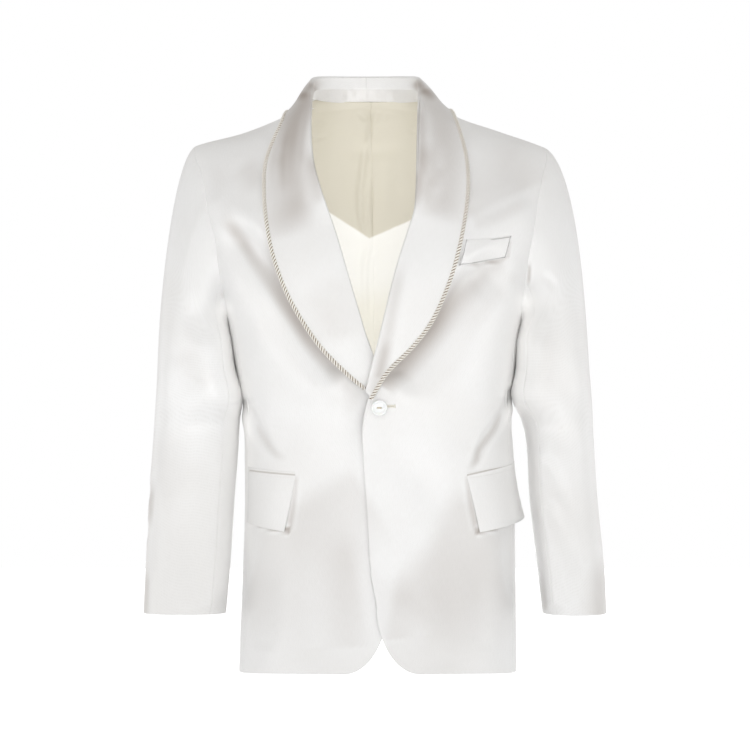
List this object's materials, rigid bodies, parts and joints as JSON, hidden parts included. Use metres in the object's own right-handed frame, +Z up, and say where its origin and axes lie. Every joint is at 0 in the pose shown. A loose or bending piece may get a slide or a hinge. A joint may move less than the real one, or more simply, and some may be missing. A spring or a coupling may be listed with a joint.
{
  "type": "dinner jacket",
  "caption": "Hollow shawl-collar dinner jacket with rope-trimmed collar, breast welt and flap pockets, closed left over right.",
  "frame": {"origin": "middle of the body, level with the shoulder ridge beside the neck, where the wearer's shoulders hold the jacket", "axes": "+Z up along the body, front towards -Y, wearer's left towards +X"},
  "size_m": [0.5952, 0.2582, 0.7785],
  "materials": {
    "satin": "satin",
    "collar_satin": "satin",
    "cord": "twisted cord",
    "lining": "satin",
    "button": "gloss",
    "thread": "matt"
  },
  "bodies": {
    "root": {"front_left": "satin", "front_right": "satin", "side_panel_left": "satin", "side_panel_right": "satin", "back_left": "satin", "back_right": "satin", "top_sleeve_left": "satin", "top_sleeve_right": "satin", "under_sleeve_left": "satin", "under_sleeve_right": "satin", "shawl_collar_left": "collar_satin", "shawl_collar_right": "collar_satin", "neck_band": "collar_satin", "back_lining_left": "lining", "back_lining_right": "lining", "rope_trim": "cord", "breast_welt": "satin", "pocket_jet_left": "satin", "pocket_jet_right": "satin", "pocket_flap_left": "satin", "pocket_flap_right": "satin", "button": "button", "button_thread": "thread", "buttonhole": "thread"}
  },
  "joints": []
}
